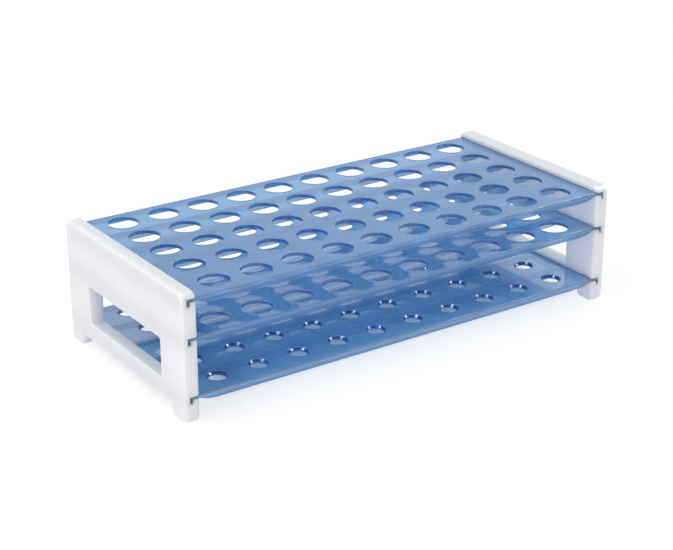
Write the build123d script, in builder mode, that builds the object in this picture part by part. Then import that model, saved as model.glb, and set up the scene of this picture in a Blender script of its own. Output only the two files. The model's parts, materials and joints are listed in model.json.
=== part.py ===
from build123d import *
import os

os.makedirs("parts", exist_ok=True)

# Millimetres. Origin: middle of the footprint, on the surface the feet stand on.
# X runs along the long side, Y from front to back, Z up.

# Tube positions
columns = 10
rows = 5
pitch_x = 16.0
pitch_y = 15.5
tube_hole_d = 11.3          # clears the 10.8 barrel of a 1.5 or 2 ml tube
seat_d = 5.8                # the lowest shelf seats the tubes' tips in countersunk holes
seat_mouth_d = 7.5
seat_angle = 90             # included angle of the countersink
end_margin = 12.0           # from the middle of the last hole to the end frame
side_margin = 9.5           # from the middle of the front row to the front of the frames

inner_face = (columns - 1) * pitch_x / 2 + end_margin
frame_depth = (rows - 1) * pitch_y + 2 * side_margin

# Shelves: a thin plate with turned-down long edges, ribs below and a hook at each end
plate_t = 1.3
shelf_setback = 0.9         # from the front of the frames to the front of a shelf
shelf_edge_r = 0.4
skirt_drop = 2.7            # every drop is measured from the shelf's top face
skirt_t = 1.3
rib_drop = 3.5
rib_t = 1.0
wall_gap = 0.4              # skirts and ribs stop this far short of the end frames
wall_end_run = 6.8          # length of the curve that brings a skirt up to the plate
hook_drop = 2.5
hook_t = 1.3

shelf_depth = frame_depth - 2 * shelf_setback
wall_half = inner_face - wall_gap

# End frames
frame_t = 5.5
frame_rise = 2.2            # how far the frames stand above the top shelf
frame_corner_r = 2.6
frame_bevel = 0.7
foot_h = 4.2
foot_len = 8.4
foot_r = 2.2
window_w = 50.4
window_bottom = 10.8
window_top = 24.8
window_r = 0.8
window_bevel = 0.4

# Shelves in their keyed grooves
shelf_tops = {"bottom_shelf": 9.1, "middle_shelf": 29.6, "top_shelf": 43.0}
hook_reach = 3.5            # how far a shelf goes into the frame's thickness
slide_gap = 0.15            # above, beside and below the hook; the plate rests on the groove

frame_h = shelf_tops["top_shelf"] + frame_rise
hook_outer = inner_face + hook_reach
hook_inner = hook_outer - hook_t


def wall_section(top_z, y, drop):
    """Outline at depth y of a wall under the plate, its ends curving up to the plate."""
    under = top_z - plate_t
    low = top_z - drop
    flat_half = wall_half - wall_end_run
    with BuildSketch(Plane.XZ.offset(-y)) as section:
        with BuildLine():
            Line((wall_half, under), (-wall_half, under))
            TangentArc((-flat_half, low), (-wall_half, under), tangent=(-1, 0))
            Line((-flat_half, low), (flat_half, low))
            TangentArc((flat_half, low), (wall_half, under), tangent=(1, 0))
        make_face()
    return section.sketch


def build_shelf(name, top_z):
    """One shelf: plate and hooks in one section, then skirts, ribs and tube holes."""
    skirt_y = (shelf_depth - skirt_t) / 2
    rib_ys = [(i - (rows - 2) / 2) * pitch_y for i in range(rows - 1)]
    with BuildPart() as shelf:
        with BuildSketch(Plane.XZ):
            with Locations((0, top_z - plate_t / 2)):
                Rectangle(2 * hook_outer, plate_t)
            with Locations(
                *[(side * (hook_outer - hook_t / 2), top_z - hook_drop / 2) for side in (-1, 1)]
            ):
                Rectangle(hook_t, hook_drop)
        extrude(amount=shelf_depth / 2, both=True)
        for y in (-skirt_y, skirt_y):
            extrude(wall_section(top_z, y, skirt_drop), amount=skirt_t / 2, both=True)
        for y in rib_ys:
            extrude(wall_section(top_z, y, rib_drop), amount=rib_t / 2, both=True)
        top_edges = shelf.edges().group_by(Axis.Z)[-1]
        fillet(top_edges, radius=shelf_edge_r)
        with Locations((0, 0, top_z)):
            with GridLocations(pitch_x, pitch_y, columns, rows):
                if name == "bottom_shelf":
                    CounterSinkHole(
                        radius=seat_d / 2,
                        counter_sink_radius=seat_mouth_d / 2,
                        depth=2 * plate_t,
                        counter_sink_angle=seat_angle,
                    )
                else:
                    Hole(radius=tube_hole_d / 2, depth=2 * plate_t)
    shelf.part.label = name
    return shelf.part


def groove_section(top_z):
    """The keyed groove for one shelf: a slot for the plate's end and a leg for its hook."""
    rest = top_z - plate_t
    ceiling = top_z + slide_gap
    slot_end = hook_outer + slide_gap
    leg_inner = hook_inner - slide_gap
    leg_bottom = top_z - hook_drop - slide_gap
    with Locations(((inner_face + slot_end) / 2, (rest + ceiling) / 2)):
        Rectangle(slot_end - inner_face, ceiling - rest)
    with Locations(((leg_inner + slot_end) / 2, (leg_bottom + ceiling) / 2)):
        Rectangle(slot_end - leg_inner, ceiling - leg_bottom)


with BuildPart() as right_end_frame:
    with BuildSketch(Plane.YZ.offset(inner_face)):
        with Locations((0, frame_h / 2)):
            Rectangle(frame_depth, frame_h)
        with Locations((0, foot_h / 2)):
            Rectangle(frame_depth - 2 * foot_len, foot_h, mode=Mode.SUBTRACT)
    extrude(amount=frame_t)
    upright = right_end_frame.edges().filter_by(Axis.X)
    fillet(upright.group_by(Axis.Z)[-1], radius=frame_corner_r)
    fillet(upright.group_by(Axis.Z)[0], radius=foot_r)
    side_faces = right_end_frame.faces().filter_by(Axis.X)
    chamfer(side_faces.edges(), length=frame_bevel)
    with BuildSketch(Plane.YZ.offset(inner_face)):
        with Locations((0, (window_bottom + window_top) / 2)):
            RectangleRounded(window_w, window_top - window_bottom, window_r)
    extrude(amount=frame_t, mode=Mode.SUBTRACT)
    side_faces = right_end_frame.faces().filter_by(Axis.X)
    window_rims = [wire.edges() for face in side_faces for wire in face.inner_wires()]
    chamfer(sum(window_rims, ShapeList()), length=window_bevel)
    with BuildSketch(Plane.XZ):
        for shelf_top in shelf_tops.values():
            groove_section(shelf_top)
    extrude(amount=frame_depth / 2, both=True, mode=Mode.SUBTRACT)
right_end_frame.part.label = "right_end_frame"

with BuildPart() as left_end_frame:
    add(right_end_frame.part.mirror(Plane.YZ))
left_end_frame.part.label = "left_end_frame"

export_step(left_end_frame.part, "parts/left_end_frame.step")
export_step(right_end_frame.part, "parts/right_end_frame.step")
for shelf_name, shelf_top in shelf_tops.items():
    export_step(build_shelf(shelf_name, shelf_top), f"parts/{shelf_name}.step")
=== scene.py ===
import json
import math

import bpy
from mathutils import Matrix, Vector


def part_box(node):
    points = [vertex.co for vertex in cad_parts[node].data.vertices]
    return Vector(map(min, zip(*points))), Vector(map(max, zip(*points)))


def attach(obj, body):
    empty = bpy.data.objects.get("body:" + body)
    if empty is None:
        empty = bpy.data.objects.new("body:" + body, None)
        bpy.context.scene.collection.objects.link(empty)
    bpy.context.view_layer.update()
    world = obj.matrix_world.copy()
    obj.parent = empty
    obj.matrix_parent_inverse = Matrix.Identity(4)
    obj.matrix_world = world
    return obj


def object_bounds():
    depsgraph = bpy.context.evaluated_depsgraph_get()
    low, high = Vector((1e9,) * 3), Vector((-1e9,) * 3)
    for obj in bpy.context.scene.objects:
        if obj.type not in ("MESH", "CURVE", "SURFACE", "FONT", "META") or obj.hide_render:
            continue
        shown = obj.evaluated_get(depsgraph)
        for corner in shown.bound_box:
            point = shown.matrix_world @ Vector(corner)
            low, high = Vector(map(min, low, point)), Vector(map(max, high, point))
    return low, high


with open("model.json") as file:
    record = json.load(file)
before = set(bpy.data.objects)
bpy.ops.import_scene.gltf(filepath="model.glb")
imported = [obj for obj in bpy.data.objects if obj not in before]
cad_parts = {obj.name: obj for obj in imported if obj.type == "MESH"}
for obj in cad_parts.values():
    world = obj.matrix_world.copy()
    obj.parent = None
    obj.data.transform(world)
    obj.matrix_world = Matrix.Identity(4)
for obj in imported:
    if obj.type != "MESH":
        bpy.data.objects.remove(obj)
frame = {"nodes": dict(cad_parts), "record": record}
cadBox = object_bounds()
mounts = {m["name"]: m for m in frame["record"]["mounts"]}
plateThickness = mounts["tube_hole_row_1_column_1"]["dims"]["length_mm"] / 1000
shelfNodes = ("top_shelf", "middle_shelf", "bottom_shelf")
frameNodes = ("left_end_frame", "right_end_frame")
print("frame loaded:", len(frame["nodes"]), "nodes")


# node helpers

def startTree(tree):
    # returns short calls that add a node and link two sockets in this tree
    def add(kind, x=0, y=0, **settings):
        node = tree.nodes.new(kind)
        node.location = (x, y)
        for key, value in settings.items():
            setattr(node, key, value)
        return node

    def link(source, target):
        tree.links.new(source, target)

    return add, link


def startMaterial(name):
    material = bpy.data.materials.new(name)
    material.use_nodes = True
    material.node_tree.nodes.clear()
    return material, *startTree(material.node_tree)


def fill(node, values):
    for label, value in values.items():
        node.inputs[label].default_value = value


def startGroup(name, inputs, outputs):
    group = bpy.data.node_groups.new(name, "ShaderNodeTree")
    for label, kind, value in inputs:
        socket = group.interface.new_socket(name=label, in_out="INPUT", socket_type=kind)
        if value is not None:
            socket.default_value = value
    for label, kind in outputs:
        group.interface.new_socket(name=label, in_out="OUTPUT", socket_type=kind)
    add, link = startTree(group)
    return group, add, link, add("NodeGroupInput", -800), add("NodeGroupOutput", 600)


def placeGroup(add, group, x, y, **values):
    node = add("ShaderNodeGroup", x, y, node_tree=group)
    fill(node, values)
    return node


# shader groups and finish shared by the two plastics

skinLook = {
    "waveDetail": 2.0,
    "grainDetail": 3.0,
    "patchRange": (0.3, 0.7),     # the part of the waves that changes the gloss
}


def makeMouldSkin(look):
    # the slight unevenness of a moulded face: slow waves and a fine grain
    group, add, link, start, end = startGroup(
        "mouldSkin",
        [
            ("Vector", "NodeSocketVector", None),
            ("WaveScale", "NodeSocketFloat", 60.0),
            ("GrainScale", "NodeSocketFloat", 900.0),
            ("GrainShare", "NodeSocketFloat", 0.3),
        ],
        [("Height", "NodeSocketFloat"), ("Patch", "NodeSocketFloat")],
    )
    waves = add("ShaderNodeTexNoise", -500, 150)
    fill(waves, {"Detail": look["waveDetail"]})
    link(start.outputs["Vector"], waves.inputs["Vector"])
    link(start.outputs["WaveScale"], waves.inputs["Scale"])
    grain = add("ShaderNodeTexNoise", -500, -150)
    fill(grain, {"Detail": look["grainDetail"]})
    link(start.outputs["Vector"], grain.inputs["Vector"])
    link(start.outputs["GrainScale"], grain.inputs["Scale"])
    both = add("ShaderNodeMix", -200, 0, data_type="FLOAT")
    link(start.outputs["GrainShare"], both.inputs["Factor"])
    link(waves.outputs["Fac"], both.inputs["A"])
    link(grain.outputs["Fac"], both.inputs["B"])
    link(both.outputs["Result"], end.inputs["Height"])
    link(waves.outputs["Fac"], end.inputs["Patch"])
    return group


def makeFacing():
    # Upright is 1 on hole walls and edges and 0 on level faces, Slant is 1 on 45 degree ones
    group, add, link, start, end = startGroup(
        "facing",
        [("Level", "NodeSocketFloat", 0.8), ("SlantWidth", "NodeSocketFloat", 0.15)],
        [("Upright", "NodeSocketFloat"), ("Slant", "NodeSocketFloat")],
    )
    shape = add("ShaderNodeNewGeometry", -600, 0)
    split = add("ShaderNodeSeparateXYZ", -400, 0)
    link(shape.outputs["True Normal"], split.inputs["Vector"])
    steep = add("ShaderNodeMath", -200, 0, operation="ABSOLUTE")
    link(split.outputs["Z"], steep.inputs[0])
    ramp = add("ShaderNodeMapRange", 0, 0)
    fill(ramp, {"From Min": 0.0, "To Min": 1.0, "To Max": 0.0})
    link(start.outputs["Level"], ramp.inputs["From Max"])
    link(steep.outputs["Value"], ramp.inputs["Value"])
    link(ramp.outputs["Result"], end.inputs["Upright"])
    slant = add("ShaderNodeMath", 0, -300, operation="COMPARE")
    link(steep.outputs["Value"], slant.inputs[0])
    slant.inputs[1].default_value = math.cos(math.radians(45))
    link(start.outputs["SlantWidth"], slant.inputs[2])
    link(slant.outputs["Value"], end.inputs["Slant"])
    return group


mouldSkin = makeMouldSkin(skinLook)
facing = makeFacing()
print("shader groups built")


def mouldedFinish(add, link, place, look):
    # the waves themselves, and the roughness and normal they give
    skin = placeGroup(
        add, mouldSkin, -900, 0,
        WaveScale=look["waveScale"], GrainScale=look["grainScale"], GrainShare=look["grainShare"],
    )
    link(place.outputs["Object"], skin.inputs["Vector"])
    gloss = add("ShaderNodeMapRange", -500, 0)
    for end, wave, share in zip(("Min", "Max"), skinLook["patchRange"], look["glossSpread"]):
        fill(gloss, {"From " + end: wave, "To " + end: look["roughness"] * share})
    link(skin.outputs["Patch"], gloss.inputs["Value"])
    bump = add("ShaderNodeBump", -500, -250)
    fill(bump, {"Distance": look["bumpDistance"], "Strength": look["bumpStrength"]})
    link(skin.outputs["Height"], bump.inputs["Height"])
    return skin.outputs["Patch"], gloss.outputs["Result"], bump.outputs["Normal"]


# shelves

shelfLook = {
    "faceColour": (0.24, 0.50, 0.76, 1),
    "wallColour": (0.12, 0.34, 0.70, 1),      # painted shade on the walls of the holes; on the rims their painted highlight colour stands here
    "slantColour": (0.04, 0.14, 0.50, 1),     # painted shade on the cones of the seats; on the rims their painted highlight colour stands here
    # painted light on the ribs' faces under the plate, where light comes through the holes
    "ribColour": (0.50, 0.70, 0.86, 1),
    "edgeColour": (0.36, 0.60, 0.82, 1),      # painted highlight on the rim of the plate and its edge fillets
    # painted shade on the skirts below the plate
    "skirtColour": (0.14, 0.36, 0.68, 1),
    "levelFacing": 0.6,       # upward part of the normal from which a face counts as level
    "slantWidth": 0.12,       # how far it may be from a 45 degree face's
    "edgeWidth": 0.001,       # metres
    "roughness": 0.05,
    "glossSpread": (0.7, 1.4),
    "slantRoughness": 0.2,
    "transmission": 0.66,     # the rest is a slight cloudiness
    "ior": 1.49,
    "specular": 0.38,
    "lowCoat": 0.4,           # extra gloss of the lowest shelf
    "absorbColour": (0.10, 0.50, 0.86, 1),
    "absorbDensity": 170.0,   # per metre
    "lampColour": (0.90, 0.95, 0.98, 1),      # what each surface lets through to shadows
    "waveScale": 45.0,
    "grainScale": 1400.0,
    "grainShare": 0.35,
    "bumpDistance": 0.00006,
    "bumpStrength": 0.2,
}


def shelfZones(add, link, place, edgeWidth):
    # between: inside the shelf's outer edges, below: under a plate, lowest: on the last shelf
    split = add("ShaderNodeSeparateXYZ", -1000, 700)
    link(place.outputs["Object"], split.inputs["Vector"])
    aside = add("ShaderNodeMath", -800, 900, operation="ABSOLUTE")
    link(split.outputs["Y"], aside.inputs[0])
    between = add("ShaderNodeMath", -600, 900, operation="LESS_THAN")
    link(aside.outputs["Value"], between.inputs[0])
    between.inputs[1].default_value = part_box("top_shelf")[1].y - edgeWidth
    below = None
    for row, shelf in enumerate(shelfNodes):
        low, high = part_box(shelf)[0].z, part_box(shelf)[1].z - plateThickness
        zone = add("ShaderNodeMath", -800, 700 - 150 * row, operation="COMPARE")
        link(split.outputs["Z"], zone.inputs[0])
        zone.inputs[1].default_value = (low + high) / 2
        zone.inputs[2].default_value = (high - low) / 2
        if below is None:
            below = zone
        else:
            total = add("ShaderNodeMath", -600, 700 - 150 * row, operation="ADD")
            link(below.outputs["Value"], total.inputs[0])
            link(zone.outputs["Value"], total.inputs[1])
            below = total
    lowest = add("ShaderNodeMath", -600, 1050, operation="LESS_THAN")
    link(split.outputs["Z"], lowest.inputs[0])
    lowest.inputs[1].default_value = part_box("middle_shelf")[0].z
    return between.outputs["Value"], below.outputs["Value"], lowest.outputs["Value"]


def makeShelfPlastic(name, look):
    material, add, link = startMaterial(name)
    place = add("ShaderNodeTexCoord", -1200, 0)
    _, gloss, normal = mouldedFinish(add, link, place, look)
    faces = placeGroup(
        add, facing, -900, 250, Level=look["levelFacing"], SlantWidth=look["slantWidth"],
    )
    between, below, lowest = shelfZones(add, link, place, look["edgeWidth"])

    def choose(mask, off, on, x, y):
        mix = add("ShaderNodeMix", x, y, data_type="RGBA")
        link(mask, mix.inputs["Factor"])
        for label, value in (("A", off), ("B", on)):
            if isinstance(value, str):
                mix.inputs[label].default_value = look[value]
            else:
                link(value, mix.inputs[label])
        return mix.outputs["Result"]

    # painted light and shade on the one plastic: darker hole walls, seat cones and skirts,
    # lighter ribs, plate rims and edge fillets
    inner = choose(below, "wallColour", "ribColour", -450, 700)
    outer = choose(below, "edgeColour", "skirtColour", -450, 500)
    upright = choose(between, outer, inner, -300, 600)
    slanted = choose(between, "edgeColour", "slantColour", -450, 300)
    walls = choose(faces.outputs["Upright"], "faceColour", upright, -300, 400)
    colour = choose(faces.outputs["Slant"], walls, slanted, -250, 250)
    dulled = add("ShaderNodeMix", -300, 0, data_type="FLOAT")
    link(faces.outputs["Slant"], dulled.inputs["Factor"])
    link(gloss, dulled.inputs["A"])
    fill(dulled, {"B": look["slantRoughness"]})
    coat = add("ShaderNodeMath", -300, -450, operation="MULTIPLY")
    link(lowest, coat.inputs[0])
    coat.inputs[1].default_value = look["lowCoat"]
    plastic = add("ShaderNodeBsdfPrincipled", -100, 100)
    fill(plastic, {
        "Transmission Weight": look["transmission"],
        "IOR": look["ior"],
        "Specular IOR Level": look["specular"],
    })
    link(colour, plastic.inputs["Base Color"])
    link(dulled.outputs["Result"], plastic.inputs["Roughness"])
    link(coat.outputs["Value"], plastic.inputs["Coat Weight"])
    link(normal, plastic.inputs["Normal"])
    lampPass = add("ShaderNodeBsdfTransparent", -100, 350)
    fill(lampPass, {"Color": look["lampColour"]})
    rays = add("ShaderNodeLightPath", -100, 700)
    surface = add("ShaderNodeMixShader", 250, 250)
    link(rays.outputs["Is Shadow Ray"], surface.inputs["Fac"])
    link(plastic.outputs["BSDF"], surface.inputs[1])
    link(lampPass.outputs["BSDF"], surface.inputs[2])
    depth = add("ShaderNodeVolumeAbsorption", 250, 0)
    fill(depth, {"Color": look["absorbColour"], "Density": look["absorbDensity"]})
    end = add("ShaderNodeOutputMaterial", 500, 200)
    link(surface.outputs["Shader"], end.inputs["Surface"])
    link(depth.outputs["Volume"], end.inputs["Volume"])
    return material


# end frames

frameLook = {
    "colour": (0.88, 0.864, 0.872, 1),
    "shade": 0.97,            # of that colour, in the patches
    "roughness": 0.38,
    "glossSpread": (0.85, 1.2),
    "waveScale": 35.0,
    "grainScale": 1100.0,
    "grainShare": 0.5,
    "bumpDistance": 0.00008,
    "bumpStrength": 0.3,
    "glow": 0.8,              # share of light that goes in and comes out again
    "glowReach": (1.0, 0.88, 0.86),
    "glowDepth": 0.0055,      # metres
}


def makeFramePlastic(look):
    material, add, link = startMaterial("framePlastic")
    place = add("ShaderNodeTexCoord", -1200, 0)
    patch, gloss, normal = mouldedFinish(add, link, place, look)
    tint = add("ShaderNodeMix", -500, 250, data_type="RGBA")
    shaded = [c * look["shade"] for c in look["colour"][:3]] + [1]
    fill(tint, {"A": shaded, "B": look["colour"]})
    link(patch, tint.inputs["Factor"])
    plastic = add("ShaderNodeBsdfPrincipled", -100, 100)
    fill(plastic, {
        "Subsurface Weight": look["glow"],
        "Subsurface Radius": look["glowReach"],
        "Subsurface Scale": look["glowDepth"],
    })
    link(tint.outputs["Result"], plastic.inputs["Base Color"])
    link(gloss, plastic.inputs["Roughness"])
    link(normal, plastic.inputs["Normal"])
    end = add("ShaderNodeOutputMaterial", 300, 100)
    link(plastic.outputs["BSDF"], end.inputs["Surface"])
    return material


def dress(names, material):
    for name in names:
        for slot in frame["nodes"][name].material_slots:
            slot.material = material
        print("dressed", name, "in", material.name)


dress(shelfNodes, makeShelfPlastic("shelfPlastic", shelfLook))
dress(frameNodes, makeFramePlastic(frameLook))


# hole rims: the rounded lip round the mouth of every hole, one ring per tube position, in a paler
# colour that paints a highlight on it

rimLook = {
    "bead": 0.00016,          # radius of the lip, metres
    "proud": 0.00006,         # how far it stands above the shelf
    "aroundRing": 32,         # points round the ring and round its section
    "aroundBead": 4,
    "seatMouth": 0.00375,     # radius of a seat at the shelf's surface
    # painted highlight: the lip's paler colour, on all its faces
    "colour": (0.50, 0.70, 0.90, 1),
    "roughness": 0.2,
}


def makeRimTree():
    tree = bpy.data.node_groups.new("holeRims", "GeometryNodeTree")
    tree.is_modifier = True
    tree.interface.new_socket("Geometry", in_out="OUTPUT", socket_type="NodeSocketGeometry")
    for label, kind in (
        ("Columns", "Int"), ("Rows", "Int"), ("PitchX", "Float"), ("PitchY", "Float"),
        ("Level", "Float"), ("Radius", "Float"), ("Bead", "Float"),
        ("AroundRing", "Int"), ("AroundBead", "Int"), ("Plastic", "Material"),
    ):
        tree.interface.new_socket(label, in_out="INPUT", socket_type="NodeSocket" + kind)
    add, link = startTree(tree)
    start, end = add("NodeGroupInput", -1400), add("NodeGroupOutput", 1000)

    def calculate(kind, a, b, x, y):
        node = add("ShaderNodeMath", x, y, operation=kind)
        for socket, value in zip(node.inputs, (a, b)):
            if isinstance(value, (int, float)):
                socket.default_value = value
            else:
                link(value, socket)
        return node.outputs["Value"]

    grid = add("GeometryNodeMeshGrid", -700, 300)
    for count, axis, y in (("Columns", "X", 400), ("Rows", "Y", 200)):
        gaps = calculate("SUBTRACT", start.outputs[count], 1, -1150, y)
        size = calculate("MULTIPLY", gaps, start.outputs["Pitch" + axis], -950, y)
        link(size, grid.inputs["Size " + axis])
        link(start.outputs[count], grid.inputs["Vertices " + axis])
    ring = add("GeometryNodeCurvePrimitiveCircle", -700, 0, mode="RADIUS")
    link(start.outputs["AroundRing"], ring.inputs["Resolution"])
    link(start.outputs["Radius"], ring.inputs["Radius"])
    section = add("GeometryNodeCurvePrimitiveCircle", -700, -200, mode="RADIUS")
    link(start.outputs["AroundBead"], section.inputs["Resolution"])
    link(start.outputs["Bead"], section.inputs["Radius"])
    bead = add("GeometryNodeCurveToMesh", -450, -50)
    link(ring.outputs["Curve"], bead.inputs["Curve"])
    link(section.outputs["Curve"], bead.inputs["Profile Curve"])
    smooth = add("GeometryNodeSetShadeSmooth", -200, -50)
    link(bead.outputs["Mesh"], smooth.inputs["Geometry"])
    lift = add("ShaderNodeCombineXYZ", -450, 450)
    link(start.outputs["Level"], lift.inputs["Z"])
    spots = add("GeometryNodeSetPosition", -200, 300)
    link(grid.outputs["Mesh"], spots.inputs["Geometry"])
    link(lift.outputs["Vector"], spots.inputs["Offset"])
    spread = add("GeometryNodeInstanceOnPoints", 50, 200)
    link(spots.outputs["Geometry"], spread.inputs["Points"])
    link(smooth.outputs["Geometry"], spread.inputs["Instance"])
    whole = add("GeometryNodeRealizeInstances", 300, 200)
    link(spread.outputs["Instances"], whole.inputs["Geometry"])
    finish = add("GeometryNodeSetMaterial", 500, 200)
    link(whole.outputs["Geometry"], finish.inputs["Geometry"])
    link(start.outputs["Plastic"], finish.inputs["Material"])
    link(finish.outputs["Geometry"], end.inputs["Geometry"])
    return tree


def growPiece(name, tree, values):
    # runs the tree once and keeps its result as a plain mesh
    maker = bpy.data.objects.new(name + "Maker", bpy.data.meshes.new(name + "Maker"))
    bpy.context.scene.collection.objects.link(maker)
    modifier = maker.modifiers.new("grow", "NODES")
    modifier.node_group = tree
    for item in tree.interface.items_tree:
        if item.in_out == "INPUT" and item.name in values:
            modifier[item.identifier] = values[item.name]
    graph = bpy.context.evaluated_depsgraph_get()
    mesh = bpy.data.meshes.new_from_object(maker.evaluated_get(graph), depsgraph=graph)
    bpy.data.objects.remove(maker)
    mesh.name = name
    piece = bpy.data.objects.new(name, mesh)
    bpy.context.scene.collection.objects.link(piece)
    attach(piece, "root")
    print(name, "has", len(mesh.polygons), "faces")


def makeRims(look):
    first, right, behind = (
        Vector(mounts["tube_hole_row_%d_column_%d" % spot]["pos_m"])
        for spot in ((1, 1), (1, 2), (2, 1))
    )
    rows = sum(name.startswith("tube_hole") and name.endswith("column_1") for name in mounts)
    columns = sum(name.startswith("tube_hole_row_1_") for name in mounts)
    tree = makeRimTree()
    # the lip's faces, walls and cones all take its painted highlight colour
    paintedRimHighlight = {label: look["colour"] for label in ("faceColour", "wallColour", "slantColour")}
    ownLook = {**shelfLook, **paintedRimHighlight, "roughness": look["roughness"]}
    plastic = makeShelfPlastic("rimPlastic", ownLook)
    holeRadius = mounts["tube_hole_row_1_column_1"]["dims"]["r_mm"] / 1000
    for shelf, radius in zip(shelfNodes, (holeRadius, holeRadius, look["seatMouth"])):
        growPiece(shelf.split("_")[0] + "Rims", tree, {
            "Columns": columns,
            "Rows": rows,
            "PitchX": right.x - first.x,
            "PitchY": behind.y - first.y,
            "Level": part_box(shelf)[1].z + look["proud"] - look["bead"],
            "Radius": radius,
            "Bead": look["bead"],
            "AroundRing": look["aroundRing"],
            "AroundBead": look["aroundBead"],
            "Plastic": plastic,
        })


makeRims(rimLook)


# floor, world and lamps

floorLook = {
    "halfSize": 3.0,
    "bounceColour": (0.92, 0.92, 0.92, 1),      # for the light it throws back
    "seenColour": (0.34, 0.335, 0.33, 1),       # for the light and shadow that show on it
    "seenGlow": (0.74, 0.74, 0.74, 1),          # its own brightness, under that light
    "paintedShadeUnderRack": (0.12, 0.195, 0.31, 1),        # painted shade: the floor's glow, darker and bluer, in the closed-in space under the rack
    "underInset": 0.009,      # metres from the rack's edge to where that painted shade begins
    "underSoft": 0.014,       # metres over which it deepens
    "underShift": 0.007,      # metres to the right, since light comes in through the left window
}


def makeFloor(look):
    half = look["halfSize"]
    mesh = bpy.data.meshes.new("floor")
    corners = [(-half, -half, 0), (half, -half, 0), (half, half, 0), (-half, half, 0)]
    mesh.from_pydata(corners, [], [(0, 1, 2, 3)])
    floor = bpy.data.objects.new("floor", mesh)
    bpy.context.scene.collection.objects.link(floor)
    material, add, link = startMaterial("paleFloor")
    seen = seenRays(add, link)
    bounce = add("ShaderNodeBsdfDiffuse", -300, 0)
    fill(bounce, {"Color": look["bounceColour"]})
    lit = add("ShaderNodeBsdfDiffuse", -300, -200)
    fill(lit, {"Color": look["seenColour"]})
    glow = add("ShaderNodeEmission", -300, -400)
    link(openGlow(add, link, look), glow.inputs["Color"])
    both = add("ShaderNodeAddShader", -50, -300)
    link(lit.outputs["BSDF"], both.inputs[0])
    link(glow.outputs["Emission"], both.inputs[1])
    pick = add("ShaderNodeMixShader", 150, 0)
    link(seen, pick.inputs["Fac"])
    link(bounce.outputs["BSDF"], pick.inputs[1])
    link(both.outputs["Shader"], pick.inputs[2])
    end = add("ShaderNodeOutputMaterial", 350, 0)
    link(pick.outputs["Shader"], end.inputs["Surface"])
    mesh.materials.append(material)


def openGlow(add, link, look):
    # the floor's own brightness, with a painted shade that lowers it inside the rack's footprint
    place = add("ShaderNodeTexCoord", -1500, -400)
    split = add("ShaderNodeSeparateXYZ", -1300, -400)
    link(place.outputs["Object"], split.inputs["Vector"])
    reach = (cadBox[1] - cadBox[0]) / 2
    ramps = []
    for axis, shift, y in (("X", look["underShift"], -300), ("Y", 0.0, -600)):
        moved = add("ShaderNodeMath", -1200, y, operation="SUBTRACT")
        link(split.outputs[axis], moved.inputs[0])
        moved.inputs[1].default_value = shift
        size = add("ShaderNodeMath", -1050, y, operation="ABSOLUTE")
        link(moved.outputs["Value"], size.inputs[0])
        ramp = add("ShaderNodeMapRange", -900, y)
        edge = getattr(reach, axis.lower()) - look["underInset"]
        fill(ramp, {"From Min": edge - look["underSoft"], "From Max": edge})
        link(size.outputs["Value"], ramp.inputs["Value"])
        ramps.append(ramp)
    either = add("ShaderNodeMath", -600, -450, operation="MAXIMUM")
    link(ramps[0].outputs["Result"], either.inputs[0])
    link(ramps[1].outputs["Result"], either.inputs[1])
    # painted shade: the darker, bluer glow under the rack, blended into the open floor's glow
    tone = add("ShaderNodeMix", -450, -600, data_type="RGBA")
    fill(tone, {"A": look["paintedShadeUnderRack"], "B": look["seenGlow"]})
    link(either.outputs["Value"], tone.inputs["Factor"])
    return tone.outputs["Result"]


def seenRays(add, link):
    # 1 for rays that show the surface: straight, mirrored or through the see-through plastic
    rays = add("ShaderNodeLightPath", -900, 300)
    mirrored = add("ShaderNodeMath", -700, 300, operation="MAXIMUM")
    link(rays.outputs["Is Camera Ray"], mirrored.inputs[0])
    link(rays.outputs["Is Glossy Ray"], mirrored.inputs[1])
    through = add("ShaderNodeMath", -500, 300, operation="MAXIMUM")
    link(mirrored.outputs["Value"], through.inputs[0])
    link(rays.outputs["Is Transmission Ray"], through.inputs[1])
    return through.outputs["Value"]


lightLook = {
    "skyLight": 0.66,
    "skyColour": (0.95, 0.98, 1.0, 1),
    # lamps: name, direction from the rack as azimuth and elevation, distance, side, watts, colour
    "lamps": (
        ("keyLamp", -95, 60, 0.9, 0.4, 2.2, (0.92, 0.97, 1.0)),
        ("lowLamp", -52, 6, 0.9, 0.4, 1.8, (1.0, 0.80, 0.84)),
        ("rightLamp", 75, 20, 0.9, 0.5, 0.9, (1.0, 0.97, 0.96)),
    ),
    # narrow lamps that only show as reflections
    "glints": (
        ("leftGlint", -98, 59, 0.9, 0.12, 6.0, (1.0, 1.0, 1.0)),
        ("rightGlint", 67, 42, 0.9, 0.12, 6.0, (1.0, 1.0, 1.0)),
    ),
    "glintHeight": 0.3,       # metres
}


def fromDirection(azimuth, elevation):
    # azimuth 0 is in front of the rack and 90 at its right end
    a, e = math.radians(azimuth), math.radians(elevation)
    return Vector((math.sin(a) * math.cos(e), -math.cos(a) * math.cos(e), math.sin(e)))


def makeSky(look):
    world = bpy.data.worlds.new("studio")
    bpy.context.scene.world = world
    world.use_nodes = True
    world.node_tree.nodes.clear()
    add, link = startTree(world.node_tree)
    seen = seenRays(add, link)
    sky = add("ShaderNodeBackground", 0, 0)
    fill(sky, {"Color": look["skyColour"], "Strength": look["skyLight"]})
    white = add("ShaderNodeBackground", 0, -200)
    fill(white, {"Color": (1, 1, 1, 1), "Strength": 1.0})
    pick = add("ShaderNodeMixShader", 250, 0)
    link(seen, pick.inputs["Fac"])
    link(sky.outputs["Background"], pick.inputs[1])
    link(white.outputs["Background"], pick.inputs[2])
    end = add("ShaderNodeOutputWorld", 450, 0)
    link(pick.outputs["Shader"], end.inputs["Surface"])


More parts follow.
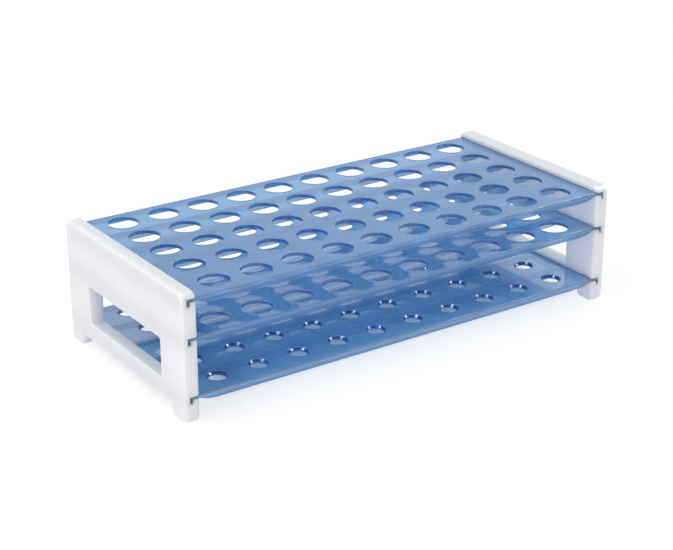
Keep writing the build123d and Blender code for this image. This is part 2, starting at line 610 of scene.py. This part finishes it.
def placeLamp(name, azimuth, elevation, distance, side, watts, colour):
    lamp = bpy.data.lights.new(name, "AREA")
    lamp.color = colour
    lamp.size = side
    lamp.energy = watts
    holder = bpy.data.objects.new(name, lamp)
    toward = fromDirection(azimuth, elevation)
    holder.location = (cadBox[0] + cadBox[1]) / 2 + toward * distance
    holder.rotation_euler = toward.to_track_quat("Z", "Y").to_euler()
    bpy.context.scene.collection.objects.link(holder)
    return holder


def keepToReflections(holder, height):
    # shows in gloss alone, and not in light that has met a dull surface before
    holder.visible_diffuse = holder.visible_transmission = False
    lamp = holder.data
    lamp.shape = "RECTANGLE"
    lamp.size_y = height
    lamp.cycles.use_multiple_importance_sampling = False
    lamp.use_nodes = True
    add, link = startTree(lamp.node_tree)
    rays = add("ShaderNodeLightPath", -600, 0)
    sharp = add("ShaderNodeMath", -400, 0, operation="LESS_THAN")
    link(rays.outputs["Diffuse Depth"], sharp.inputs[0])
    sharp.inputs[1].default_value = 0.5
    link(sharp.outputs["Value"], lamp.node_tree.nodes["Emission"].inputs["Strength"])


makeFloor(floorLook)
makeSky(lightLook)
for lamp in lightLook["lamps"]:
    placeLamp(*lamp)
for lamp in lightLook["glints"]:
    keepToReflections(placeLamp(*lamp), lightLook["glintHeight"])
print("floor and lamps placed")


# camera

cameraView = {
    "azimuth": -34.44,
    "elevation": 22.79,
    "distance": 0.5954,       # from the middle of the top shelf's upper face
    "aside": -0.00276,
    "up": -0.02413,
    "lens": 89.49,
    "sensor": 36.0,
    "clip": (0.01, 20.0),     # metres
}


def makeCamera(look):
    data = bpy.data.cameras.new("camera")
    data.lens = look["lens"]
    data.sensor_width = look["sensor"]
    camera = bpy.data.objects.new("camera", data)
    bpy.context.scene.collection.objects.link(camera)
    back = fromDirection(look["azimuth"], look["elevation"])
    right = fromDirection(look["azimuth"] + 90, 0)
    up = back.cross(right)
    aim = Vector((0, 0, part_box("top_shelf")[1].z))
    camera.location = aim + back * look["distance"] + right * look["aside"] + up * look["up"]
    camera.rotation_euler = back.to_track_quat("Z", "Y").to_euler()
    data.clip_start, data.clip_end = look["clip"]
    bpy.context.scene.camera = camera


makeCamera(cameraView)
bpy.context.scene.view_settings.view_transform = "Standard"
print("camera placed")
